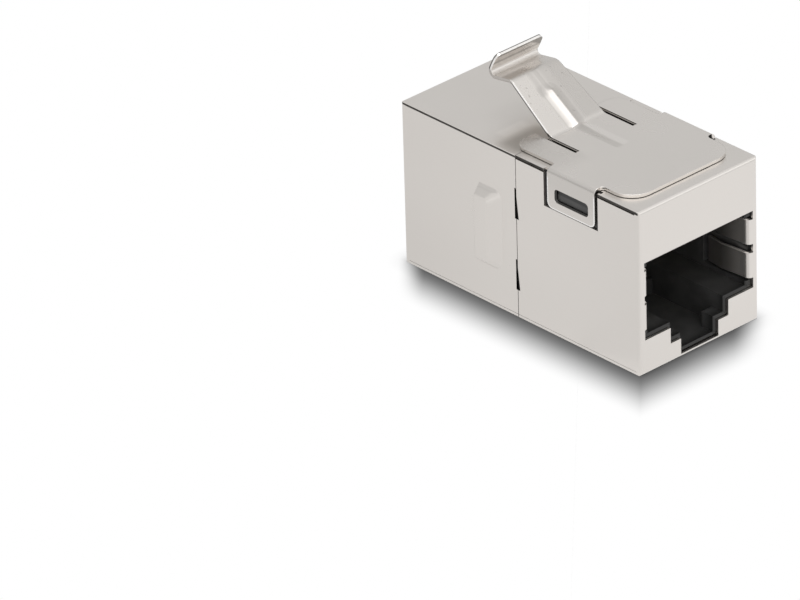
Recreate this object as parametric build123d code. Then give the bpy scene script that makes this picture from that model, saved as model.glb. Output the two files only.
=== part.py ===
from build123d import *
import math
import os

# Shielded inline coupler for two eight-way plugs: two folded half shells, a spring
# clip on top and two sockets back to back on a small board.
# X runs across, Y from face A (-Y) to face B (+Y), Z up. The origin is the middle of the base.
# A depth is a distance inwards from a face. OVERLAP is how far fused pieces and cuts reach past
# a face that they share.

# Body
BODY_WIDTH = 14.5
BODY_LENGTH = 30.0
BODY_HEIGHT = 16.2
SHEET = 0.25
FACE_BEND = 0.3
SLIT_FRONT = 0.14
SLIT_REAR = 0.05
SLIT_FOOT = 0.03
SLIT_START = 0.55
FIT = 0.03
PLAY = 0.05
OVERLAP = 0.1

# Seam between the half shells, and the tabs of the rear half that run under the front one
SEAM_Y = 0.38
SEAM_LINE = 0.07
SEAM_OPEN = 0.8
SEAM_OPEN_TOP = 12.9
TAB_LOW = (2.7, 5.75)
TAB_HIGH = (9.82, 12.87)
TAB_REACH = 1.3
TAB_ROOT = 0.6
TAB_ROOT_LENGTH = 0.5
TAB_BEND = 0.15
WEDGE_REAR = 0.2
WEDGE_TIP = 0.05
WEDGE_FOOT = 0.28

# Socket opening in each face
JAMB = 0.6
MOUTH_TOP = 11.05
MOUTH_SHELF = 3.4
STEP_HALF = 3.55
STEP_FLOOR = 1.85
NOTCH_HALF = 2.3
NOTCH_FLOOR = 0.3

# Ground fingers folded in from the sides of the opening
FINGER_BEND = 0.55
FINGER_LENGTH = 5.0
FINGER_SEAT = 1.1
FINGER_BOW = 0.24
FINGER_BOW_DEPTH = 3.1
FINGER_SEAT_BEND = 0.5
FINGER_BOW_BEND = 1.5
FINGER_LOW = (4.4, 6.9)
FINGER_HIGH = (7.75, 10.2)

# Louvres on the sides of the rear half
LOUVRE_START = 17.1
LOUVRE_FLAT = 18.5
LOUVRE_END = 20.05
LOUVRE_LOW = 3.75
LOUVRE_HIGH = 11.9
LOUVRE_PROUD = 0.75
LOUVRE_DRAFT = 0.75
LOUVRE_TOP_DRAFT = 1.15
LOUVRE_CORNER = 0.9
LOUVRE_TOP_CORNER = 0.45
LOUVRE_ROUND = 0.4

# Clip
CLIP_SHEET = 0.3
CLIP_LIFT = 0.05
CLIP_INSET = 0.9
CLIP_START = 1.7
CLIP_WING_END = 16.55
CLIP_FRONT_CORNER = 2.2
CLIP_WING_CORNER = 1.35
CLIP_BEND = 0.42
CLIP_TAB_START = 5.35
CLIP_TAB_END = 11.25
CLIP_TAB_DROP = 3.5
CLIP_TAB_PROUD = 0.15
CLIP_TAB_CORNER = 0.6
CLIP_ROOT_FILLET = 0.38
CLIP_NOTCH_FRONT = 0.25
CLIP_NOTCH_REAR = 0.6
CLIP_NOTCH_FOOT = 0.18
WINDOW_START = 6.15
WINDOW_END = 10.35
WINDOW_DROP = 1.4
WINDOW_HEIGHT = 1.32
WINDOW_CORNER = 0.35
SLOT_WIDTH = 0.5
SLOT_START = 11.4

# Tongue and lip of the clip: runs from bend to bend, and rises above the clip plate's middle
TONGUE_HALF = 3.25
CREST_HALF = 2.82
TONGUE_START = 15.0
TONGUE_BEND = 1.0
CREST_RUN = 5.4
CREST_RISE = 3.52
CREST_BEND = 0.9
VALLEY_RUN = 3.05
VALLEY_DROP = 0.5
VALLEY_BEND = 0.52
LIP_LEAN = 1.2
LIP_HEIGHT = 2.42
LIP_HALF = 2.88
LIP_WIDEST = 1.65
LIP_TIP_HALF = 2.75
LIP_CORNER = 0.5

# Stiffening ridge pressed up across the bend: it fades out on the plate and ends round on the slope
RIDGE_START = 9.9
RIDGE_STOP = 2.1
RIDGE_HALF = 1.2
RIDGE_RISE = 0.28
RIDGE_ROUND = 0.25
RIDGE_SINK = 0.01

# Socket mouldings
JACK_WALL_FRONT = 0.05
JACK_EDGE = 0.2
CAVITY_WALL = 1.27
CAVITY_DEPTH = 10.4
CAVITY_TOP = 10.7
CAVITY_SHELF = 3.72
PLUG_STEP_HALF = 3.25
PLUG_STEP_FLOOR = 2.16
PLUG_NOTCH_HALF = 2.0
PLUG_NOTCH_FLOOR = 0.66
LEAD_IN = 0.13
LATCH_WALL = 1.5
LATCH_DEPTH = 9.2
FINGER_POCKET = 0.5
FINGER_PLAY = 0.25
LUG_PLAY = 0.14
LUG_RECESS = 0.3
RAIL_WIDTH = 1.3
RAIL_LENGTH = 1.0
RAIL_LOW = 1.2
RAIL_HIGH = 14.0

# Contacts
CONTACTS = 8
PITCH = 1.02
WIRE_THICK = 0.34
WIRE_WIDTH = 0.46
PIN_ROW_LOW = 12.0
PIN_ROW_HIGH = 13.2
PIN_BEYOND_BOARD = 0.3
PIN_STRAIGHT = 1.3
PIN_STEP = 1.1
RUN_HEIGHT = 11.5
TURN_DEPTH = 3.0
TURN_DROP = 0.95
TURN_BEND = 0.36
PIN_BEND = 0.3
FREE_END_DEPTH = 10.7
FREE_END_HEIGHT = 7.9

# Contact carriers
CARRIER_HALF = 4.5
ROOF_START = 1.9
ROOF_LOW = 11.32
ROOF_HIGH = 12.15
COMB_DEPTH = 1.0
COMB_SLOT = 0.7
COMB_LOW = 7.2
COMB_FOOT = 0.3
BLOCK_HIGH = 14.3
BLOCK_GAP = 0.9
SLOT_PLAY = 0.07

# Board
BOARD_THICK = 1.2
BOARD_INSET = 0.75
BOARD_LOW = 0.7
BOARD_DROP = 0.8
BOARD_CORNER = 0.6
HOLE_RADIUS = 0.36

# Sizes that follow from the ones above
HALF_WIDTH = BODY_WIDTH / 2
HALF_LENGTH = BODY_LENGTH / 2
PLATE_MIDDLE = BODY_HEIGHT + CLIP_LIFT + CLIP_SHEET / 2
BOARD_FACE = HALF_LENGTH - BOARD_THICK / 2
MOUTH_HALF = HALF_WIDTH - JAMB
CAVITY_HALF = HALF_WIDTH - CAVITY_WALL
CLIP_HALF = HALF_WIDTH - CLIP_INSET
BOARD_HALF = HALF_WIDTH - BOARD_INSET
CLIP_TAB_FOOT = BODY_HEIGHT - CLIP_TAB_DROP
WINDOW_HIGH = BODY_HEIGHT - WINDOW_DROP
WINDOW_LOW = WINDOW_HIGH - WINDOW_HEIGHT
BOARD_HIGH = BODY_HEIGHT - BOARD_DROP
JACK_DEPTH = BOARD_FACE - RAIL_LENGTH
BLOCK_END = BOARD_FACE - BLOCK_GAP
PIN_STEP_REAR = BOARD_FACE - PIN_STRAIGHT
PIN_STEP_FRONT = PIN_STEP_REAR - PIN_STEP
CREST_DEPTH = TONGUE_START + CREST_RUN
VALLEY_DEPTH = CREST_DEPTH + VALLEY_RUN
VALLEY_RISE = CREST_RISE - VALLEY_DROP
LIP_DEPTH = VALLEY_DEPTH - LIP_LEAN
LIP_RISE = VALLEY_RISE + LIP_HEIGHT
RIDGE_END = CREST_DEPTH - RIDGE_STOP


def block(x, y, z):
    """A box between two corners, given as three (low, high) pairs."""
    size = Box(x[1] - x[0], y[1] - y[0], z[1] - z[0])
    return Pos((x[0] + x[1]) / 2, (y[0] + y[1]) / 2, (z[0] + z[1]) / 2) * size


def along(depth):
    """The Y of a depth measured from face A."""
    return depth - HALF_LENGTH


def turned(shape):
    """The same shape on the other half: turned half a turn about Z."""
    return Rot(0, 0, 180) * shape


def both_sides(shape):
    """The shape and its mirror image across the middle plane."""
    return shape + mirror(shape, Plane.YZ)


def strip_across(points, radius, thickness, half_width):
    """A sheet bent along a path in the YZ plane, as wide as given across X."""
    path = FilletPolyline(*points, radius=radius)
    return extrude(Plane.YZ * trace(path, thickness), amount=half_width, both=True)


def strip_upright(points, radius, thickness, low, high):
    """A sheet bent along a path in the XY plane, standing from low to high."""
    path = FilletPolyline(*points, radius=radius)
    return Pos(0, 0, low) * extrude(trace(path, thickness), amount=high - low)


def levels_of(widths, floors, top):
    """The stacked widths of a plug opening, each with its floor and its ceiling."""
    ceilings = (top, floors[0] + OVERLAP, floors[1] + OVERLAP)
    return zip(widths, floors, ceilings)


def stepped_opening(levels, depth):
    """A plug-shaped tool of stacked widths, between two depths."""
    low_y = along(depth[0])
    high_y = along(depth[1])
    tool = None
    for half, low, high in levels:
        piece = block((-half, half), (low_y, high_y), (low, high))
        tool = piece if tool is None else tool + piece
    return tool


def ground_finger(low, high):
    """One finger at +X: a round fold off the face, then a tongue bowed towards the plug."""
    inner = MOUTH_HALF - FINGER_BEND
    middle = SHEET / 2
    start = (MOUTH_HALF + SHEET, along(middle))
    points = [
        start,
        (inner + middle, along(middle)),
        (inner + middle, along(FINGER_SEAT)),
        (inner + middle - FINGER_BOW, along(FINGER_BOW_DEPTH)),
        (inner + middle, along(FINGER_LENGTH)),
    ]
    radii = (FINGER_BEND - middle, FINGER_SEAT_BEND, FINGER_BOW_BEND)
    return strip_upright(points, radii, SHEET, low, high)


def seam_tab(low, high):
    """A tab at +X of the rear half: it steps inwards and runs under the front half."""
    outside = HALF_WIDTH - SHEET / 2
    inside = outside - SHEET - PLAY
    points = [
        (outside, SEAM_Y + TAB_ROOT + TAB_ROOT_LENGTH),
        (outside, SEAM_Y + TAB_ROOT),
        (inside, SEAM_Y + SEAM_LINE),
        (inside, SEAM_Y - TAB_REACH),
    ]
    return strip_upright(points, TAB_BEND, SHEET, low, high)


def seam_wedge(low, high):
    """The wedge left open at -X where a tab bends inwards, wider at its foot."""
    outline = Polyline(
        (SEAM_Y - WEDGE_FOOT, low),
        (SEAM_Y + WEDGE_REAR, low),
        (SEAM_Y + WEDGE_REAR, high),
        (SEAM_Y + WEDGE_TIP, high),
        close=True,
    )
    wedge = extrude(Plane.YZ * make_face(outline), amount=SHEET, both=True)
    return Pos(-HALF_WIDTH, 0, 0) * wedge


def folded_half(length, slit):
    """Half of the can: a face with four flaps folded back, open along its long edges."""
    outer = block((-HALF_WIDTH, HALF_WIDTH), (along(0), along(length)), (0, BODY_HEIGHT))
    outer = fillet(outer.faces().sort_by(Axis.Y)[0].edges(), FACE_BEND)
    inner = block(
        (SHEET - HALF_WIDTH, HALF_WIDTH - SHEET),
        (along(SHEET), along(length + SHEET)),
        (SHEET, BODY_HEIGHT - SHEET),
    )
    inner = fillet(inner.faces().sort_by(Axis.Y)[0].edges(), FACE_BEND - SHEET)
    half = outer - inner
    for low, high in ((SHEET, SHEET + SLIT_FOOT), (BODY_HEIGHT - SHEET - slit, BODY_HEIGHT - SHEET)):
        gap = block(
            (HALF_WIDTH - SHEET - OVERLAP, HALF_WIDTH + SHEET),
            (along(SLIT_START), along(length + SHEET)),
            (low, high),
        )
        half -= both_sides(gap)
    widths = (MOUTH_HALF, STEP_HALF, NOTCH_HALF)
    floors = (MOUTH_SHELF, STEP_FLOOR, NOTCH_FLOOR)
    half -= stepped_opening(levels_of(widths, floors, MOUTH_TOP), (-SHEET, SHEET * 2))
    for low, high in (FINGER_LOW, FINGER_HIGH):
        half += both_sides(ground_finger(low, high))
    return half


def clip_notch():
    """The gap at +X in the front half's side and top flaps, where a clip tab drops in."""
    start = along(CLIP_TAB_START - CLIP_NOTCH_FRONT)
    end = along(CLIP_TAB_END + CLIP_NOTCH_REAR)
    foot = CLIP_TAB_FOOT - CLIP_NOTCH_FOOT
    inner = HALF_WIDTH + CLIP_TAB_PROUD - CLIP_SHEET - PLAY * 2
    side = block((HALF_WIDTH - SHEET - OVERLAP, HALF_WIDTH + SHEET), (start, end), (foot, BODY_HEIGHT))
    top = block((inner, HALF_WIDTH + SHEET), (start, end), (BODY_HEIGHT - SHEET * 2, BODY_HEIGHT + SHEET))
    return side + top


def front_shell():
    """The half with face A, notched for the clip and cut back along part of the seam."""
    shell = folded_half(HALF_LENGTH + SEAM_Y - SEAM_LINE / 2, SLIT_FRONT)
    shell -= both_sides(clip_notch())
    wall = (HALF_WIDTH - SHEET - OVERLAP, HALF_WIDTH + SHEET)
    shell -= block(wall, (SEAM_Y - SEAM_OPEN, SEAM_Y + SHEET), (SHEET, SEAM_OPEN_TOP))
    for low, high in (TAB_LOW, TAB_HIGH):
        shell -= seam_wedge(low, high)
    return shell


def louvre():
    """A scoop at +X of the front-half frame: open at its face end, flat, then sloping back to the wall."""
    mouth = along(BODY_LENGTH - LOUVRE_END)
    foot = Plane(origin=(HALF_WIDTH - OVERLAP, mouth, 0), x_dir=(0, 1, 0), z_dir=(1, 0, 0))
    top_low = LOUVRE_LOW + LOUVRE_DRAFT
    top_high = LOUVRE_HIGH - LOUVRE_TOP_DRAFT
    sections = []
    for level, length, low, high, corner in (
        (0, LOUVRE_END - LOUVRE_START, LOUVRE_LOW, LOUVRE_HIGH, LOUVRE_CORNER),
        (LOUVRE_PROUD + OVERLAP, LOUVRE_END - LOUVRE_FLAT, top_low, top_high, LOUVRE_TOP_CORNER),
    ):
        outline = RectangleRounded(length + LOUVRE_CORNER * 2, high - low, corner)
        sections.append(foot.offset(level) * Pos(length / 2 - LOUVRE_CORNER, (low + high) / 2) * outline)
    form = loft(sections, ruled=True)
    form = fillet(form.faces().sort_by(Axis.X)[-1].edges(), LOUVRE_ROUND)
    return form - block((0, BODY_WIDTH), (mouth - LOUVRE_CORNER * 3, mouth), (0, BODY_HEIGHT))


def rear_shell():
    """The half with face B, with a louvre on each side and tabs that run under the front half."""
    shell = folded_half(HALF_LENGTH - SEAM_Y - SEAM_LINE / 2, SLIT_REAR)
    scoop = louvre()
    shell += both_sides(scoop)
    shell -= both_sides(Pos(-SHEET, 0, 0) * scoop)
    shell = turned(shell)
    for low, high in (TAB_LOW, TAB_HIGH):
        shell -= seam_wedge(low, high)
        shell += both_sides(seam_tab(low, high))
    return shell


def clip_plate():
    """The flat of the clip with its wings, slots and the roots of its side tabs."""
    plan_start = along(CLIP_START)
    wing_end = along(CLIP_WING_END)
    plate = Pos(0, (plan_start + wing_end) / 2) * Rectangle(CLIP_HALF * 2, wing_end - plan_start)
    corners = plate.vertices().sort_by(Axis.Y)
    plate = fillet(corners[:2], CLIP_FRONT_CORNER)
    plate = fillet(plate.vertices().sort_by(Axis.Y)[-2:], CLIP_WING_CORNER)
    tab_start = along(CLIP_TAB_START)
    tab_end = along(CLIP_TAB_END)
    root_half = HALF_WIDTH + CLIP_TAB_PROUD - CLIP_SHEET / 2 - CLIP_BEND
    root = Pos(0, (tab_start + tab_end) / 2) * Rectangle(root_half * 2, tab_end - tab_start)
    plate += root
    inside_corners = [
        v
        for v in plate.vertices()
        if abs(abs(v.X) - CLIP_HALF) < 1e-4 and min(abs(v.Y - tab_start), abs(v.Y - tab_end)) < 1e-4
    ]
    plate = fillet(inside_corners, CLIP_ROOT_FILLET)
    slot_start = along(SLOT_START)
    slot_length = wing_end - slot_start + OVERLAP
    slot = Pos(TONGUE_HALF + SLOT_WIDTH / 2, slot_start + slot_length / 2)
    slot *= Rectangle(SLOT_WIDTH, slot_length)
    plate -= slot
    plate -= mirror(slot, Plane.YZ)
    tongue_end = along(TONGUE_START) - TONGUE_BEND
    beyond_length = wing_end - tongue_end + OVERLAP
    beyond = Rectangle(TONGUE_HALF * 2 + SLOT_WIDTH, beyond_length)
    plate -= Pos(0, tongue_end + beyond_length / 2) * beyond
    return Pos(0, 0, PLATE_MIDDLE - CLIP_SHEET / 2) * extrude(plate, amount=CLIP_SHEET)


def clip_side_tab():
    """The tab at +X that folds down over the side and hooks on the moulding's lug."""
    middle = HALF_WIDTH + CLIP_TAB_PROUD - CLIP_SHEET / 2
    path = FilletPolyline(
        (middle - CLIP_BEND - OVERLAP, PLATE_MIDDLE),
        (middle, PLATE_MIDDLE),
        (middle, CLIP_TAB_FOOT),
        radius=CLIP_BEND,
    )
    start = along(CLIP_TAB_START)
    end = along(CLIP_TAB_END)
    tab = extrude(Plane.XZ * trace(path, CLIP_SHEET), amount=-(end - start))
    tab = Pos(0, start, 0) * tab
    foot = tab.faces().sort_by(Axis.Z)[0].edges().filter_by(Axis.X)
    tab = fillet(foot, CLIP_TAB_CORNER)
    window = block(
        (middle - CLIP_SHEET, middle + CLIP_SHEET),
        (along(WINDOW_START), along(WINDOW_END)),
        (WINDOW_LOW, WINDOW_HIGH),
    )
    window = fillet(window.edges().filter_by(Axis.X), WINDOW_CORNER)
    return tab - window


def tongue_points():
    """The middle line of the tongue and lip in the YZ plane."""
    return [
        (along(TONGUE_START) - TONGUE_BEND - OVERLAP, PLATE_MIDDLE),
        (along(TONGUE_START), PLATE_MIDDLE),
        (along(CREST_DEPTH), PLATE_MIDDLE + CREST_RISE),
        (along(VALLEY_DEPTH), PLATE_MIDDLE + VALLEY_RISE),
        (along(LIP_DEPTH), PLATE_MIDDLE + LIP_RISE),
    ]


def tongue_waist():
    """What the tongue loses at +X as it narrows from its root to the crest."""
    beyond = TONGUE_HALF + LIP_HALF
    valley_end = along(VALLEY_DEPTH + LIP_LEAN)
    outline = Polyline(
        (TONGUE_HALF, along(TONGUE_START)),
        (CREST_HALF, along(CREST_DEPTH)),
        (CREST_HALF, valley_end),
        (beyond, valley_end),
        (beyond, along(TONGUE_START)),
        close=True,
    )
    height = CREST_RISE + CLIP_SHEET * 2
    return Pos(0, 0, PLATE_MIDDLE - CLIP_SHEET) * extrude(make_face(outline), amount=height)


def lip_side():
    """What the lip loses at +X: its side swells out above the valley and draws in to the tip."""
    low = PLATE_MIDDLE + CREST_RISE
    high = PLATE_MIDDLE + LIP_RISE + CLIP_SHEET
    beyond = TONGUE_HALF + LIP_HALF
    swell = ThreePointArc(
        (CREST_HALF, low),
        (LIP_HALF, PLATE_MIDDLE + VALLEY_RISE + LIP_WIDEST),
        (LIP_TIP_HALF, high),
    )
    back = Polyline((LIP_TIP_HALF, high), (beyond, high), (beyond, low), (CREST_HALF, low))
    side = extrude(Plane.XZ * make_face([swell, back]), amount=LIP_LEAN * 2, both=True)
    return Pos(0, along(VALLEY_DEPTH), 0) * side


def clip_tongue():
    """The spring tongue: up a slope, over a crest, down into a valley and up the curled lip."""
    radii = (TONGUE_BEND, CREST_BEND, VALLEY_BEND)
    half = max(TONGUE_HALF, LIP_HALF)
    tongue = strip_across(tongue_points(), radii, CLIP_SHEET, half)
    tongue -= both_sides(lip_side())
    tip = tongue.faces().sort_by(Axis.Z)[-1]
    tongue = fillet(tip.edges().sort_by(SortBy.LENGTH)[:2], LIP_CORNER)
    return tongue - both_sides(tongue_waist())


def ridge_section(top):
    """The ridge across its run: two hollow flanks that meet in a rounded edge, on a flat base."""
    radius = (RIDGE_HALF**2 + RIDGE_RISE**2) / (2 * RIDGE_RISE)
    lean = math.degrees(math.asin(RIDGE_HALF / radius))
    flank = CenterArc((-RIDGE_HALF, top + radius), radius, -90, lean)
    base = top - CLIP_SHEET
    rest = Polyline((0, top + RIDGE_RISE), (0, base), (-RIDGE_HALF, base), (-RIDGE_HALF, top))
    half = make_face([flank, rest])
    both = half + mirror(half, Plane.YZ)
    return fillet(both.vertices().sort_by(Axis.Y)[-1], RIDGE_ROUND)


def ridge(sink):
    """The ridge's form along the clip: rising out of the plate, up the slope, and round at its end."""
    section = ridge_section(CLIP_SHEET / 2 - RIDGE_SINK - sink)
    slope = math.atan2(CREST_RISE, CREST_RUN)
    climb = (RIDGE_END - TONGUE_START) * math.tan(slope)
    line = Plane.YZ * Polyline(
        (along(RIDGE_START), PLATE_MIDDLE - RIDGE_RISE),
        (along(TONGUE_START), PLATE_MIDDLE),
        (along(RIDGE_END), PLATE_MIDDLE + climb),
    )
    across = (-1, 0, 0)
    start = Plane(line @ 0, x_dir=across, z_dir=line % 0)
    run = sweep(start * section, path=line, transition=Transition.RIGHT)
    tip = Plane(line @ 1, x_dir=across, z_dir=(0, math.cos(slope), math.sin(slope)))
    half = section & Pos(-RIDGE_HALF, 0) * Rectangle(RIDGE_HALF * 2, BODY_HEIGHT)
    return run + revolve(tip * half, axis=Axis(line @ 1, tip.y_dir), revolution_arc=180)


def above_clip():
    """Everything above the middle of the clip's sheet, from its start to the crest."""
    points = tongue_points()
    points[0] = (along(CLIP_START), PLATE_MIDDLE)
    high = PLATE_MIDDLE + LIP_RISE
    ground = FilletPolyline(*points[:3], radius=TONGUE_BEND)
    over = Polyline(points[2], (points[2][0], high), (points[0][0], high), points[0])
    return extrude(Plane.YZ * make_face([ground, over]), amount=RIDGE_HALF * 2, both=True)


def latch_clip():
    """The spring clip in one piece."""
    clip = clip_plate()
    clip += both_sides(clip_side_tab())
    clip += clip_tongue()
    clip += ridge(0) & above_clip()
    clip -= ridge(CLIP_SHEET)
    return clip


def contact_path(index):
    """The bent line of one contact in the front half: pin, step, run, turn and spring arm."""
    pin_row = PIN_ROW_LOW if index % 2 == 0 else PIN_ROW_HIGH
    points = [
        (along(BOARD_FACE + BOARD_THICK + PIN_BEYOND_BOARD), pin_row),
        (along(PIN_STEP_REAR), pin_row),
        (along(PIN_STEP_FRONT), RUN_HEIGHT),
        (along(TURN_DEPTH), RUN_HEIGHT),
        (along(TURN_DEPTH), RUN_HEIGHT - TURN_DROP),
        (along(FREE_END_DEPTH), FREE_END_HEIGHT),
    ]
    return points


def contact_x(index):
    """The X of one contact in the front half."""
    return (index - (CONTACTS - 1) / 2) * PITCH


def contact(index, grow=0.0):
    """One contact, or the slot for it when grown by a play on every side."""
    radii = (PIN_BEND, PIN_BEND, TURN_BEND, TURN_BEND)
    thickness = WIRE_THICK + 2 * grow
    wire = strip_across(contact_path(index), radii, thickness, WIRE_WIDTH / 2 + grow)
    return Pos(contact_x(index), 0, 0) * wire


def contact_carrier():
    """The insert that holds eight contacts: a grooved roof, a comb and a rear block."""
    across = (-CARRIER_HALF, CARRIER_HALF)
    roof = block(across, (along(ROOF_START), along(CAVITY_DEPTH + COMB_DEPTH)), (ROOF_LOW, ROOF_HIGH))
    comb = block(across, (along(CAVITY_DEPTH), along(CAVITY_DEPTH + COMB_DEPTH)), (COMB_LOW, ROOF_HIGH))
    rear = block(across, (along(CAVITY_DEPTH + COMB_DEPTH), along(BLOCK_END)), (COMB_LOW, BLOCK_HIGH))
    carrier = roof + comb + rear
    for index in range(CONTACTS):
        middle = contact_x(index)
        half = WIRE_WIDTH / 2 + SLOT_PLAY
        slot = block(
            (middle - half, middle + half),
            (along(CAVITY_DEPTH - OVERLAP), along(CAVITY_DEPTH + COMB_SLOT)),
            (COMB_LOW + COMB_FOOT, ROOF_LOW),
        )
        carrier -= slot
        carrier -= contact(index, SLOT_PLAY)
    return carrier


def jack_housing():
    """The black moulding of one socket: mouth, plug cavity, latch well and carrier pocket."""
    front = SHEET + JACK_WALL_FRONT
    side = HALF_WIDTH - SHEET - PLAY
    low = SHEET + PLAY
    high = BODY_HEIGHT - SHEET - PLAY
    body = block((-side, side), (along(front), along(JACK_DEPTH)), (low, high))
    body = fillet(body.edges().filter_by(Axis.Y), JACK_EDGE)
    widths = (CAVITY_HALF, PLUG_STEP_HALF, PLUG_NOTCH_HALF)
    floors = (CAVITY_SHELF, PLUG_STEP_FLOOR, PLUG_NOTCH_FLOOR)
    body = fillet(body.faces().sort_by(Axis.Y)[0].edges(), JACK_EDGE)
    body -= stepped_opening(levels_of(widths, floors, CAVITY_TOP), (0, CAVITY_DEPTH))
    rim = body.faces().filter_by(Axis.Y).sort_by(Axis.Y)[0]
    body = chamfer(rim.inner_wires()[0].edges(), LEAD_IN)
    well = block(
        (-PLUG_STEP_HALF, PLUG_STEP_HALF),
        (along(front + LATCH_WALL), along(LATCH_DEPTH)),
        (PLUG_NOTCH_FLOOR, CAVITY_SHELF),
    )
    body -= well
    finger_zone = (FINGER_LOW[0] - FINGER_PLAY, FINGER_HIGH[1] + FINGER_PLAY)
    for half, depth in (
        (CAVITY_HALF + FINGER_POCKET, FINGER_LENGTH + FINGER_PLAY * 2),
        (MOUTH_HALF + PLAY, FINGER_BEND),
    ):
        body -= block((-half, half), (along(0), along(depth)), finger_zone)
    across = (-CARRIER_HALF - PLAY, CARRIER_HALF + PLAY)
    rear = along(JACK_DEPTH + OVERLAP)
    body -= block(across, (along(ROOF_START - PLAY), rear), (CAVITY_TOP - OVERLAP, ROOF_HIGH + PLAY))
    body -= block(across, (along(CAVITY_DEPTH - PLAY), rear), (COMB_LOW - PLAY, BLOCK_HIGH + PLAY))
    rail = block(
        (BOARD_HALF - RAIL_WIDTH, BOARD_HALF),
        (along(JACK_DEPTH - OVERLAP), along(BOARD_FACE - FIT)),
        (RAIL_LOW, RAIL_HIGH),
    )
    return body + both_sides(rail)


def clip_lug():
    """The lug at +X that stands in the window of a clip tab."""
    reach = HALF_WIDTH + CLIP_TAB_PROUD - LUG_RECESS
    return block(
        (HALF_WIDTH - SHEET * 2, reach),
        (along(WINDOW_START + LUG_PLAY), along(WINDOW_END - LUG_PLAY)),
        (WINDOW_LOW + LUG_PLAY, WINDOW_HIGH - LUG_PLAY),
    )


def circuit_board():
    """The board across the middle, drilled for the pins of both sockets."""
    board = block((-BOARD_HALF, BOARD_HALF), (-BOARD_THICK / 2, BOARD_THICK / 2), (BOARD_LOW, BOARD_HIGH))
    board = fillet(board.edges().filter_by(Axis.Y), BOARD_CORNER)
    for row in (PIN_ROW_LOW, PIN_ROW_HIGH):
        for index in range(CONTACTS):
            drill = Rot(90, 0, 0) * Cylinder(HOLE_RADIUS, BOARD_THICK * 2)
            board -= Pos(contact_x(index), 0, row) * drill
    return board


def main():
    """Builds every piece and writes it under its own name."""
    os.makedirs("parts", exist_ok=True)
    housing = jack_housing()
    carrier = contact_carrier()
    pieces = {
        "front_shell": front_shell(),
        "rear_shell": rear_shell(),
        "latch_clip": latch_clip(),
        "front_jack_housing": housing + both_sides(clip_lug()),
        "rear_jack_housing": turned(housing),
        "front_contact_carrier": carrier,
        "rear_contact_carrier": turned(carrier),
        "circuit_board": circuit_board(),
    }
    for index in range(CONTACTS):
        wire = contact(index)
        pieces[f"front_contact_{index + 1}"] = wire
        pieces[f"rear_contact_{index + 1}"] = turned(wire)
    for name, piece in pieces.items():
        export_step(piece, f"parts/{name}.step")


main()
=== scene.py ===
import math

import bpy
from mathutils import Matrix, Vector

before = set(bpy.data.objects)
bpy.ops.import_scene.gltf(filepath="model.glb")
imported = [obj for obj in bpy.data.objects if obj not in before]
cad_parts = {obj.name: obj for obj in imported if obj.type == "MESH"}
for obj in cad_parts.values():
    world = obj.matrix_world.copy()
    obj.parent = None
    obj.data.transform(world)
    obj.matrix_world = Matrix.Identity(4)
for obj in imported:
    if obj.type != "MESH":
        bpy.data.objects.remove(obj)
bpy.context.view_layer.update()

# Main sizes of the body, in millimetres, as the solids have them
MM = 0.001
HALF_WIDTH = 7.25
HALF_LENGTH = 15.0
HEIGHT = 16.2
SHEET = 0.25

# The clip's side tabs, in millimetres: their outer face, their middle and half length along the
# body, their foot, and the radius of their corners
TAB_FACE = 7.4
TAB_MIDDLE = -6.7
TAB_HALF = 2.95
TAB_FOOT = 12.7
TAB_CORNER = 0.6

# The middle of the clip's sheet: its height in the plate, in millimetres, how steeply it rises in
# the tongue, and where it stands in the lip, LIP_Y * y + LIP_Z * z = LIP_AWAY
PLATE_MIDDLE = 16.4
TONGUE_RISE = 0.652
LIP_Y = 0.896
LIP_Z = 0.444
LIP_AWAY = 16.192

# Camera: its direction and roll in degrees, its place in millimetres, its focal length in pixels
# of a picture 800 wide, its sensor's width in millimetres, and the nearest and farthest that it
# sees, in metres
AZIMUTH = -42.3156
ELEVATION = 29.1409
ROLL = -1.6872
PLACE = (-481.096, -504.61, 388.085)
FOCAL = 9000.0
PICTURE_WIDTH = 800
SENSOR = 36.0
NEAREST = 0.01
FARTHEST = 20.0

# The lamp overhead: its place and its side in millimetres, and its power in watts
LAMP_PLACE = (60, 60, 500)
LAMP_SIDE = 220
LAMP_POWER = 0.6

# The floor's half width, in metres
FLOOR_HALF = 4.0

# The painted shadow on the floor, in millimetres: how far the contact shadow reaches, how far the
# soft shadow towards (-X, -Y) reaches, and the share of the light that it takes at its root
CONTACT_REACH = 2.0
PAINTED_SHADOW_REACH = 5.4
PAINTED_SHADOW_DEPTH = 0.825


class Value:
    """A socket that adds Math nodes when it is used in a sum."""

    def __init__(self, finish, socket):
        self.finish = finish
        self.socket = socket

    def math(self, operation, *others, first=None):
        """A Math node on this value and the others, or on first and this value."""
        inputs = (self, *others) if first is None else (first, self)
        settings = {"operation": operation}
        return self.finish.node("ShaderNodeMath", settings, dict(enumerate(inputs)))

    def __add__(self, other):
        return self.math("ADD", other)

    __radd__ = __add__

    def __sub__(self, other):
        return self.math("SUBTRACT", other)

    def __rsub__(self, other):
        return self.math("SUBTRACT", first=other)

    def __mul__(self, other):
        return self.math("MULTIPLY", other)

    __rmul__ = __mul__

    def __pow__(self, other):
        return self.math("POWER", other)

    def __abs__(self):
        return self.math("ABSOLUTE")

    def most(self, other):
        return self.math("MAXIMUM", other)

    def rise(self, low, high, to_low=0.0, to_high=1.0):
        """A smooth step from to_low at low to to_high at high, where high may be under low."""
        settings = {"interpolation_type": "SMOOTHSTEP"}
        inputs = {0: self, 1: low, 2: high, 3: to_low, 4: to_high}
        return self.finish.node("ShaderNodeMapRange", settings, inputs)

    def between(self, low, high, soft):
        """1 from low to high, fading over soft outside them."""
        return self.rise(low - soft, low) * self.rise(high + soft, high)


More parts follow.
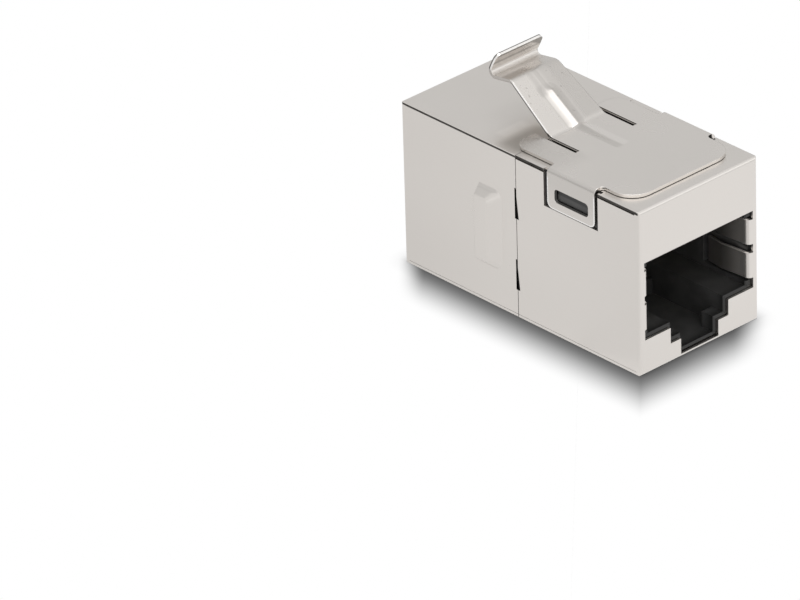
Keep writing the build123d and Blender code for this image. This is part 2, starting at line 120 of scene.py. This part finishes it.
class Finish:
    """A node tree, with one way to add a node to it."""

    def __init__(self, tree):
        self.tree = tree
        tree.nodes.clear()

    def node(self, kind, settings=(), inputs=(), output=0):
        """Adds a node: its settings first, then the values and links of its sockets."""
        made = self.tree.nodes.new(kind)
        for key, value in dict(settings).items():
            setattr(made, key, value)
        for key, value in dict(inputs).items():
            if isinstance(value, Value):
                self.tree.links.new(value.socket, made.inputs[key])
            else:
                made.inputs[key].default_value = value
        return Value(self, made.outputs[output] if len(made.outputs) else None)

    def parts(self, vector):
        """The three components of a vector."""
        split = self.node("ShaderNodeSeparateXYZ", (), {0: vector}).socket.node
        return [Value(self, split.outputs[i]) for i in range(3)]

    def vector(self, operation, *inputs):
        """A Vector Math node."""
        settings = {"operation": operation}
        return self.node("ShaderNodeVectorMath", settings, dict(enumerate(inputs)))

    def noise(self, vector, scale, detail=2.0, roughness=0.5):
        """Noise about 0.5, with a grain of about 1 / scale."""
        inputs = {"Vector": vector, "Scale": scale, "Detail": detail, "Roughness": roughness}
        return self.node("ShaderNodeTexNoise", (), inputs)

    def mix(self, factor, first, second):
        """A colour between two colours."""
        inputs = {0: factor, 6: first, 7: second}
        return self.node("ShaderNodeMix", {"data_type": "RGBA"}, inputs, output=2)


class Coat(Finish):
    """A surface finish in the object's own coordinates, in millimetres: a colour in layers, and
    the shader that shows it."""

    def __init__(self, name):
        self.made = bpy.data.materials.new(name)
        self.made.use_nodes = True
        super().__init__(self.made.node_tree)
        raw = self.node("ShaderNodeTexCoord", output=3)
        self.point = self.vector("MULTIPLY", raw, (1 / MM,) * 3)
        self.x, self.y, self.z = self.parts(self.point)
        self.nx, self.ny, self.nz = self.parts(self.node("ShaderNodeTexCoord", output=1))

    def drawn(self, stretch, detail=2.0, roughness=0.5):
        """Noise drawn out along the body, with its grain given for each axis."""
        return self.noise(self.vector("MULTIPLY", self.point, stretch), 1.0, detail, roughness)

    def cover(self, tone, low, high):
        """Lays the first colour: low where the tone is 0, high where it is 1."""
        self.colour = self.mix(tone, low, high)

    def tint(self, mask, colour):
        """Lays a colour over the ones before it, where the mask is above 0."""
        self.colour = self.mix(mask, self.colour, colour)

    def done(self, inputs, height, depth, soften=0.0, lean=None):
        """Ends the tree with a Principled shader in the coat's colour, with softened edges, normals
        that lean by a vector, and a bump."""
        bump = {"Height": height, "Distance": depth * MM, "Strength": 1.0}
        if soften:
            normal = self.node("ShaderNodeBevel", {"samples": 8}, {"Radius": soften * MM})
            if lean is not None:
                lean = self.node("ShaderNodeCombineXYZ", (), dict(enumerate(lean)))
                normal = self.vector("NORMALIZE", self.vector("ADD", normal, lean))
            bump["Normal"] = normal
        normal = self.node("ShaderNodeBump", (), bump)
        inputs = {"Base Color": self.colour, "Normal": normal, **inputs}
        shader = self.node("ShaderNodeBsdfPrincipled", (), inputs)
        self.node("ShaderNodeOutputMaterial", (), {0: shader})
        return self.made


def rgb(red, green, blue):
    """A colour with full alpha."""
    return (red, green, blue, 1.0)


# Tones of painted light on the plating: painted shade where another piece takes the light or a face
# turns from it, painted shade at a bend or cut edge, painted black in gaps, and a painted highlight
# on a cut edge
SHADED = rgb(0.36, 0.34, 0.31)
CREASE_SHADE = rgb(0.2, 0.19, 0.18)
GAP_SHADE = rgb(0.02, 0.019, 0.018)
EDGE_GLINT = rgb(0.99, 0.98, 0.97)


def plated_sheet(name, flap_low, flap_high):
    """Bright plating on a folded sheet: a cloudy tone, a fine rolled grain along the body, painted
    shade on the sides, and dark bare steel on the cut edges of the top flap, from flap_low to
    flap_high, painted near black as the shade of the slit beside them."""
    coat = Coat(name)
    cloud = coat.noise(coat.point, 0.11, 3.0)
    grain = coat.drawn((9.0, 0.7, 9.0), 3.0, 0.6)
    speck = coat.noise(coat.point, 7.0, 2.0, 0.7)
    tone = (cloud - 0.5) * 0.06 + (grain - 0.5) * 0.035 + 0.5
    coat.cover(tone.rise(0.4, 0.6), rgb(0.742, 0.713, 0.683), rgb(0.808, 0.776, 0.744))

    # Painted shade on the sides: darker low down, away from the front end, and towards the rear
    side = abs(coat.nx).rise(0.7, 0.9)
    side_shade = coat.z.rise(9.0, 1.0) * coat.y.rise(-14.0, 0.0) * 0.22
    side_shade = side_shade + coat.y.rise(-2.0, 14.0) * 0.18
    coat.tint(side * side_shade, rgb(0.66, 0.634, 0.605))
    shade_top(coat)
    finger = mark_fingers(coat, cloud)
    scoop = mark_louvres(coat)

    # The top flap's cut edges: bare steel, painted near black as the shade of the slit beside them
    edge = abs(coat.nx).rise(0.75, 0.95) * coat.z.between(flap_low, flap_high, 0.02)
    edge = edge * abs(coat.x).rise(HALF_WIDTH - 0.1, HALF_WIDTH - 0.05)
    steel = coat.mix(grain.rise(0.35, 0.65), rgb(0.05, 0.047, 0.044), rgb(0.1, 0.095, 0.09))
    coat.tint(edge, steel)
    # Painted shade: black on metal seen through gaps
    gap = gaps_behind(coat)
    coat.tint(gap, GAP_SHADE)
    inputs = {
        "Metallic": 1 - finger * 0.12,
        "Roughness": 0.3 + (speck - 0.5) * 0.06 + (cloud - 0.5) * 0.08 + edge * 0.2 + gap * 0.3,
    }
    lean = (0.0, finger * coat.nz.rise(0.4, 0.8) * -0.9, scoop * -0.3)
    return coat.done(inputs, grain * 0.7 + speck * 0.3, 0.0012, 0.05, lean)


def shade_top(coat):
    """Painted shade on the top below the clip's tongue, which hides the light from it, and a
    painted highlight on a paler strip beyond.
    """
    x, y = coat.x, coat.y
    top = coat.z.rise(HEIGHT - 0.2, HEIGHT - 0.1)
    under = x.rise(-7.6, -6.0) * x.rise(-1.5, -2.5) * y.rise(3.6, 2.3) * y.rise(-0.9, 0.6)
    # Painted shade below the tongue
    coat.tint(under * top * 0.55, SHADED)
    # Painted highlight on the strip beyond
    beyond = x.between(-5.2, -2.8, 0.8) * y.between(3.7, 4.3, 0.6)
    coat.tint(beyond * top * 0.35, rgb(0.95, 0.92, 0.89))


def mark_fingers(coat, cloud):
    """The ground fingers: painted shade as a grey line where they fold in, and painted shade that
    deepens into the socket. Gives their mask."""
    across, along, z = abs(coat.x), abs(coat.y), coat.z
    # Painted shade: a grey line along the fold
    fold = across.between(6.18, 6.26, 0.07) * along.rise(14.2, 14.4) * z.between(4.2, 10.6, 0.1)
    coat.tint(fold * 0.5, rgb(0.5, 0.48, 0.46))
    finger = across.between(5.5, 6.5, 0.05) * along.between(8.5, 14.6, 0.3)
    finger = finger * z.between(1.0, 15.0, 0.3)
    # Painted shade, deeper into the socket
    deep_shade = finger * along.rise(14.2, 11.8) * (0.4 + cloud)
    coat.tint(deep_shade * 0.7, rgb(0.16, 0.15, 0.145))
    return finger


def mark_louvres(coat):
    """The louvres' top ends: painted shade as a dark line where they leave the sheet. Gives the
    mask of the slope below it."""
    across, y, z = abs(coat.x), coat.y, coat.z
    # Painted shade: a dark line at the louvre's top foot
    line = across.rise(HALF_WIDTH + 0.005, HALF_WIDTH + 0.02)
    line = line * y.between(5.0, 8.5, 0.8) * z.between(11.76, 11.9, 0.04)
    coat.tint(line * 0.6, rgb(0.3, 0.29, 0.28))
    slope = across.rise(HALF_WIDTH + 0.02, HALF_WIDTH + 0.05) * coat.nz.rise(0.25, 0.45)
    return slope * y.between(2.0, 9.0, 0.3) * z.rise(11.6, 11.4)


def gaps_behind(coat):
    """The mask of painted shade, black, on what gaps let through: the tabs behind the seam, the top
    below the clip's slots, and the notches in front of its side tabs."""
    across, y, z = abs(coat.x), coat.y, coat.z
    seam = across.between(6.6, HALF_WIDTH - 0.02, 0.01) * abs(y).rise(2.4, 2.2)
    seam = seam * z.rise(14.0, 13.6)
    slot = across.between(3.22, 3.8, 0.03) * y.between(-3.7, 0.35, 0.05)
    slot = slot * z.rise(HEIGHT - 0.2, HEIGHT - 0.1)
    notch = across.between(6.7, 7.0, 0.08) * y.between(-10.1, -9.5, 0.05)
    return seam.most(slot).most(notch)


def plated_spring(name):
    """The clip's plating: the sheet's tone, a little smoother, with small pits and stains where it
    is bent, and brushed along the middle of its tongue."""
    coat = Coat(name)
    x, y, z = coat.x, coat.y, coat.z
    cloud = coat.noise(coat.point, 0.16, 3.0)
    grain = coat.drawn((8.0, 0.9, 4.0), 3.0, 0.6)
    pit = coat.noise(coat.point, 3.2, 3.0, 0.65)
    tone = (cloud - 0.5) * 0.05 + (grain - 0.5) * 0.03 + 0.5
    coat.cover(tone.rise(0.4, 0.6), rgb(0.75, 0.72, 0.69), rgb(0.816, 0.784, 0.752))
    bent = z.rise(17.2, 18.4)
    stain = pit.rise(0.6, 0.72) * bent
    coat.tint(stain * 0.4, rgb(0.5, 0.47, 0.44))

    slope = z.rise(16.5, 16.9) * y.rise(6.0, 5.4)
    lip = z.rise(19.9, 20.2) * y.rise(8.5, 8.2)
    window_shade = mark_tabs(coat)
    level = mark_plate(coat)
    mark_crest(coat)
    mark_lip(coat, lip)
    strip = mark_slots(coat)
    # Painted shade on the tongue's slope, deeper towards +X
    coat.tint(slope * x.rise(-4.5, 1.0, 0.06, 0.12), SHADED)
    glint_half = mark_edges(coat, slope, lip)
    fleck = coat.noise(coat.point, 2.3, 1.0, 0.5).rise(0.7, 0.74) * z.rise(17.0, 17.5)
    coat.tint(fleck * 0.35, rgb(0.3, 0.28, 0.26))

    brushed = slope * abs(x).rise(1.5, 1.0)
    foot = y.between(7.2, 8.7, 0.4) * z.rise(19.2, 19.4) * z.rise(20.1, 19.9)
    inputs = {
        "Metallic": 1.0,
        "Roughness": 0.27 + (cloud - 0.5) * 0.08 + stain * 0.12 + brushed * 0.08 + foot * 0.2,
    }
    valley = coat.ny.rise(0.0, -0.5) * z.rise(20.8, 20.0) * y.rise(7.4, 7.8)
    lean = (
        slope * tongue_lean(coat) + window_shade * x * 0.2 - level * coat.nx,
        glint_half * slope * -0.4,
        valley * 0.4 + glint_half * slope * 0.6 + strip * 0.9,
    )
    return coat.done(inputs, grain * 0.5 + pit * bent, 0.002, 0.08, lean)


def mark_tabs(coat):
    """The side tabs and the wing beside them: painted shade, with a painted highlight as a line
    round each tab, whose distance is measured from a smaller outline inside it, and painted dark
    shade on the window edges and the front corner. Gives the mask of the window edges."""
    x, y, z = coat.x, coat.y, coat.z
    # Painted shade on the wing and the tabs
    wing = x.rise(-3.0, -3.8) * z.rise(17.5, 17.0) * y.rise(-6.0, -3.0)
    tab = abs(x).rise(TAB_FACE - 0.2, TAB_FACE - 0.05) * z.rise(12.6, 15.5, 0.35, 0.8)
    coat.tint((wing * 0.45).most(tab), rgb(0.62, 0.595, 0.57))

    # Painted highlight: a line round each tab
    aside = (abs(y - TAB_MIDDLE) - (TAB_HALF - TAB_CORNER)).most(0.0)
    below = (TAB_FOOT + TAB_CORNER - z).most(0.0)
    away = (aside * aside + below * below) ** 0.5
    line = away.rise(TAB_CORNER - 0.16, TAB_CORNER - 0.08) * z.rise(16.0, 15.5)
    coat.tint(line * abs(x).rise(TAB_FACE - 0.04, TAB_FACE - 0.01), EDGE_GLINT)

    # Painted shade on the window edges
    window_shade = abs(x).between(7.1, 7.36, 0.02) * y.between(-9.0, -4.5, 0.05)
    window_shade = window_shade * z.between(13.4, 14.9, 0.05)
    coat.tint(window_shade, rgb(0.07, 0.068, 0.066))
    # Painted shade, black, in the front corner
    hook = coat.ny.rise(-0.5, -0.8) * x.between(6.45, 6.95, 0.1) * y.rise(-9.2, -9.5)
    coat.tint(hook, GAP_SHADE)
    return window_shade


def mark_plate(coat):
    """The ridge's run-out on the plate: a trace of painted shade and a trace of painted highlight
    beside it. Gives the mask of the stretch where the ridge's flanks are levelled for it."""
    x, y = coat.x, coat.y
    level = coat.z.rise(16.9, 16.75) * y.rise(0.0, -0.6) * abs(x).rise(1.6, 1.2)
    trace = level * y.rise(-5.8, -5.2)
    # Painted shade on one side of the ridge's trace, a painted highlight on the other
    coat.tint(trace * x.between(-0.45, 0.02, 0.25) * 0.24, SHADED)
    coat.tint(trace * x.between(0.45, 0.85, 0.3) * 0.28, rgb(0.96, 0.93, 0.9))
    return level


def mark_crest(coat):
    """The tongue's crest: slightly darker, and darker still in a patch on its left half."""
    y = coat.y
    high = coat.z.rise(19.0, 19.3)
    coat.tint(high * y.rise(4.6, 5.4) * y.rise(8.4, 7.9) * 0.1, rgb(0.5, 0.475, 0.455))
    # A darker patch on the crest's left half
    darker_left = y.between(6.0, 6.4, 0.6) * coat.x.between(-2.5, -0.6, 1.0)
    coat.tint(high * darker_left * 0.6, rgb(0.33, 0.3, 0.275))


def mark_lip(coat, lip):
    """The lip: painted shade on its face along a crease, in the far corner and below the rim, and a
    painted highlight on its top edge, with a painted dark line at the back."""
    x, z = coat.x, coat.z
    # Painted shade on the lip's face
    face = lip * coat.ny.rise(-0.5, -0.7)
    crease = face * z.between(20.85, 20.98, 0.14) * 0.45
    corner = face * (x * 0.6 + z - 22.35).rise(-0.1, 0.25) * 0.75
    rim = face * z.rise(21.5, 21.62) * 0.7
    coat.tint(crease.most(corner).most(rim), CREASE_SHADE)
    # Painted highlight on the top edge, and a painted dark line at its back
    top = z.rise(21.4, 21.5) * coat.nz.rise(0.6, 0.8)
    coat.tint(top, coat.mix(coat.y.rise(7.28, 7.34), rgb(0.99, 0.97, 0.95), CREASE_SHADE))


def mark_slots(coat):
    """The walls of the clip's slots: painted shade, black, with a paler painted strip. Gives the
    mask of the strip.
    """
    # Painted shade on the slot walls, with a paler painted strip
    wall = abs(coat.nx).rise(0.7, 0.9) * abs(coat.x).between(3.2, 3.8, 0.02)
    wall = wall * coat.z.rise(16.65, 16.55)
    strip = wall * coat.z.between(16.37, 16.45, 0.03)
    coat.tint(wall, coat.mix(strip, rgb(0.03, 0.028, 0.026), rgb(0.4, 0.37, 0.34)))
    return strip


def mark_edges(coat, slope, lip):
    """The cut edge on the clip's left: a painted highlight on half of its thickness on the tongue
    and the lip, painted dark shade on the rest, and grey round the crest. Gives the mask of the
    highlighted half."""
    y, z = coat.y, coat.z
    # Painted highlight and painted shade on the cut edge
    cut = coat.nx.rise(-0.5, -0.8) * z.rise(16.6, 16.8)
    above = (z - PLATE_MIDDLE - y * TONGUE_RISE) * math.cos(math.atan(TONGUE_RISE))
    outside = (y * LIP_Y + z * LIP_Z - LIP_AWAY).rise(0.0, 0.06)
    glint_half = cut * (slope * above.rise(-0.05, 0.0)).most(lip * (1 - outside))
    round_crest = y.rise(5.0, 5.6) * (1 - lip)
    edge = coat.mix(glint_half, rgb(0.16, 0.15, 0.14), EDGE_GLINT)
    coat.tint(cut, coat.mix(cut * round_crest, edge, rgb(0.6, 0.575, 0.55)))
    return glint_half


def tongue_lean(coat):
    """How far the tongue's normals lean towards +X: a little on its right half, more on the ridge's
    flanks, and most at the ridge's top end."""
    x, y = coat.x, coat.y
    right = x.rise(-0.3, 0.7) * 0.145 - 0.005
    flanks = x.rise(-1.3, -0.9) * x.rise(-0.2, -0.75) * 0.1 + x.between(-0.3, 0.05, 0.15) * 0.12
    end = x.between(-1.1, 0.0, 0.3) * y.rise(2.85, 3.3) * y.rise(4.2, 3.6) * 0.14
    return right + flanks + end


def moulded_black(name):
    """Black moulded plastic with a fine spark-eroded texture, and painted shade, deeper black, at
    the mouths and along the top and front of the lugs' faces."""
    coat = Coat(name)
    fine = coat.noise(coat.point, 14.0, 3.0, 0.6)
    cloud = coat.noise(coat.point, 0.6, 2.0)
    coat.cover(cloud.rise(0.35, 0.65), rgb(0.042, 0.042, 0.042), rgb(0.058, 0.058, 0.058))
    # Painted shade: deeper black on the lugs' faces and at the mouths
    black_shade = coat.z.rise(14.12, 14.3).most(coat.y.rise(-8.35, -8.5))
    black_shade = black_shade * abs(coat.x).rise(7.0, 7.05)
    black_shade = black_shade.most(abs(coat.y).rise(HALF_LENGTH - 1.5, HALF_LENGTH - 0.3))
    coat.tint(black_shade, rgb(0.012, 0.012, 0.012))
    inputs = {"Roughness": 0.34 + (fine - 0.5) * 0.14 + (cloud - 0.5) * 0.1}
    return coat.done(inputs, fine, 0.003, 0.06)


def matt_black(name):
    """The contact carrier's plastic: duller, with a coarser surface."""
    coat = Coat(name)
    fine = coat.noise(coat.point, 9.0, 3.0, 0.6)
    coat.cover(fine.rise(0.3, 0.7), rgb(0.035, 0.035, 0.035), rgb(0.05, 0.05, 0.049))
    return coat.done({"Roughness": 0.55 + (fine - 0.5) * 0.15}, fine, 0.004, 0.04)


def gilt_wire(name):
    """Gold-flashed contact wire, drawn along its length, tin-grey where it passes the board."""
    coat = Coat(name)
    drawn = coat.drawn((24.0, 1.5, 24.0))
    tinned = abs(coat.y).rise(3.4, 2.2)
    coat.cover(drawn.rise(0.3, 0.7), rgb(0.72, 0.5, 0.2), rgb(0.86, 0.64, 0.29))
    coat.tint(tinned, rgb(0.6, 0.59, 0.56))
    inputs = {"Metallic": 1.0, "Roughness": 0.2 + (drawn - 0.5) * 0.1 + tinned * 0.15}
    return coat.done(inputs, drawn, 0.001, 0.03)


def laminate(name):
    """Glass laminate under green lacquer, with the weave faint beneath it and bare edges."""
    coat = Coat(name)
    place = {"Vector": coat.point, "Scale": 0.9}
    weave = coat.node("ShaderNodeTexWave", {"bands_direction": "X"}, place)
    weave = weave * coat.node("ShaderNodeTexWave", {"bands_direction": "Z"}, place)
    fine = coat.noise(coat.point, 5.0, 2.0)
    bare = abs(coat.ny).rise(0.95, 0.8)
    coat.cover(weave * 0.6 + fine * 0.4, rgb(0.008, 0.07, 0.032), rgb(0.014, 0.1, 0.048))
    coat.tint(bare, rgb(0.3, 0.27, 0.16))
    return coat.done({"Roughness": 0.3 + (fine - 0.5) * 0.1 + bare * 0.4}, weave, 0.004)


def pale_floor(name):
    """Plain white floor: metal sees an even pale sweep, and the picture sees white with the
    object's
    shadow painted in: the light that the object hides close by, from ambient occlusion, a painted
    soft shadow towards (-X, -Y), and a painted darkening close along the footprint's edge. A
    point's painted soft shadow depends on its way along (1, 1) to the object's footprint,
    reach = max(-HALF_WIDTH - x, -HALF_LENGTH - y, 0), and fades where that way misses the
    footprint."""
    coat = Coat(name)
    x, y = coat.x, coat.y
    light = coat.node("ShaderNodeLightPath").socket.node.outputs
    camera = Value(coat, light["Is Camera Ray"])
    mirrored = Value(coat, light["Is Glossy Ray"]).most(Value(coat, light["Is Transmission Ray"]))

    near = {"Distance": CONTACT_REACH * MM}
    open_sky = coat.node("ShaderNodeAmbientOcclusion", {"samples": 16}, near, output=1)
    # Painted soft shadow towards (-X, -Y), from the way along (1, 1) to the footprint
    reach = (-HALF_WIDTH - x).most(-HALF_LENGTH - y).most(0.0)
    cover = (x + reach).rise(HALF_WIDTH + 1.4, HALF_WIDTH - 3.4)
    cover = cover * (y + reach).rise(HALF_LENGTH + 1.0, HALF_LENGTH - 2.6)
    painted_shadow = cover * reach.rise(-0.1, PAINTED_SHADOW_REACH, PAINTED_SHADOW_DEPTH, 0.0)
    # Painted darkening close along the footprint's edge
    painted_edge_dark = cover * reach.rise(0.4, 0.0) * 0.15
    bright = open_sky ** 0.4 * (1 - painted_shadow) * (1 - painted_edge_dark)
    white = coat.node("ShaderNodeEmission", (), {"Color": rgb(1, 1, 1), "Strength": 1.0})
    shown = coat.node("ShaderNodeMixShader", (), {0: bright, 2: white})

    front = (x - y).rise(1.0, 12.0)
    sweep = 0.855 + front * 0.055 + (x - y).rise(8.0, 40.0) * 0.05
    sweep = sweep - (1 - front) * (x + y).rise(-10.0, 9.0) * 0.03
    pale = coat.node("ShaderNodeEmission", (), {"Color": rgb(1.0, 0.99, 0.98), "Strength": 1.0})
    seen = coat.node("ShaderNodeMixShader", (), {0: sweep, 2: pale})

    plain = coat.node("ShaderNodeBsdfDiffuse", (), {"Color": rgb(0.8, 0.79, 0.78)})
    rest = coat.node("ShaderNodeMixShader", (), {0: mirrored, 1: plain, 2: seen})
    both = coat.node("ShaderNodeMixShader", (), {0: camera, 1: rest, 2: shown})
    coat.node("ShaderNodeOutputMaterial", (), {0: both})
    return coat.made


def studio_world():
    """An even pale room: brightest overhead and high in front, dimmer high behind and towards the
    horizon."""
    world = bpy.data.worlds.new("studio")
    bpy.context.scene.world = world
    world.use_nodes = True
    room = Finish(world.node_tree)
    x, y, z = room.parts(room.node("ShaderNodeTexCoord", output=0))
    overhead = (z * 0.8 - x * 0.6).rise(0.05, 0.65) * y.rise(0.3, -0.15)
    front = y.rise(-0.22, -0.6) * z.rise(0.1, 0.4)
    behind = z.rise(0.52, 0.66) * y.rise(0.35, 0.6)
    strength = 0.69 + overhead.most(front) * 0.6 - z.rise(0.45, 0.0) * 0.12 - behind * 0.05
    inputs = {"Color": rgb(1.0, 0.995, 0.985), "Strength": strength}
    light = room.node("ShaderNodeBackground", (), inputs)
    room.node("ShaderNodeOutputWorld", (), {0: light})


def overhead_lamp():
    """A soft square lamp high above the object, aimed at it."""
    data = bpy.data.lights.new("overhead", "AREA")
    data.shape = "SQUARE"
    data.size = LAMP_SIDE * MM
    data.energy = LAMP_POWER
    made = bpy.data.objects.new("overhead", data)
    bpy.context.scene.collection.objects.link(made)
    place = Vector(LAMP_PLACE) * MM
    turn = (-place).to_track_quat("-Z", "Y").to_matrix().to_4x4()
    made.matrix_world = Matrix.Translation(place) @ turn


def photo_camera():
    """The camera at the picture's angle, from its direction, roll and place."""
    azimuth, elevation, roll = (math.radians(a) for a in (AZIMUTH, ELEVATION, ROLL))
    back = Vector((
        math.sin(azimuth) * math.cos(elevation),
        -math.cos(azimuth) * math.cos(elevation),
        math.sin(elevation),
    ))
    level = Vector((math.cos(azimuth), math.sin(azimuth), 0))
    upright = back.cross(level)
    right = level * math.cos(roll) + upright * math.sin(roll)
    up = upright * math.cos(roll) - level * math.sin(roll)
    data = bpy.data.cameras.new("camera")
    data.sensor_width = SENSOR
    data.lens = FOCAL * SENSOR / PICTURE_WIDTH
    data.clip_start = NEAREST
    data.clip_end = FARTHEST
    camera = bpy.data.objects.new("camera", data)
    bpy.context.scene.collection.objects.link(camera)
    turn = Matrix((right, up, back)).transposed().to_4x4()
    camera.matrix_world = Matrix.Translation(Vector(PLACE) * MM) @ turn
    bpy.context.scene.camera = camera


def lay_floor():
    """A wide flat floor under the object."""
    mesh = bpy.data.meshes.new("floor")
    corners = [(x * FLOOR_HALF, y * FLOOR_HALF, 0) for x, y in ((-1, -1), (1, -1), (1, 1), (-1, 1))]
    mesh.from_pydata(corners, [], [(0, 1, 2, 3)])
    mesh.materials.append(pale_floor("pale floor"))
    floor = bpy.data.objects.new("floor", mesh)
    bpy.context.scene.collection.objects.link(floor)


def dress(material, *names):
    """Gives a finish to solids by name."""
    for name in names:
        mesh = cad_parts[name].data
        mesh.materials.clear()
        mesh.materials.append(material)


def dress_all():
    """Every solid's finish."""
    flap = HEIGHT - SHEET - 0.02
    dress(plated_sheet("plated front sheet", flap, HEIGHT - 0.02), "front_shell")
    dress(plated_sheet("plated rear sheet", flap, HEIGHT - 0.1), "rear_shell")
    dress(plated_spring("plated spring"), "latch_clip")
    dress(moulded_black("moulded black"), "front_jack_housing", "rear_jack_housing")
    dress(matt_black("matt black"), "front_contact_carrier", "rear_contact_carrier")
    dress(laminate("laminate"), "circuit_board")
    wires = [f"{end}_contact_{n}" for end in ("front", "rear") for n in range(1, 9)]
    dress(gilt_wire("gilt wire"), *wires)


photo_camera()
lay_floor()
studio_world()
overhead_lamp()
dress_all()

bpy.context.scene.view_settings.view_transform = "Standard"
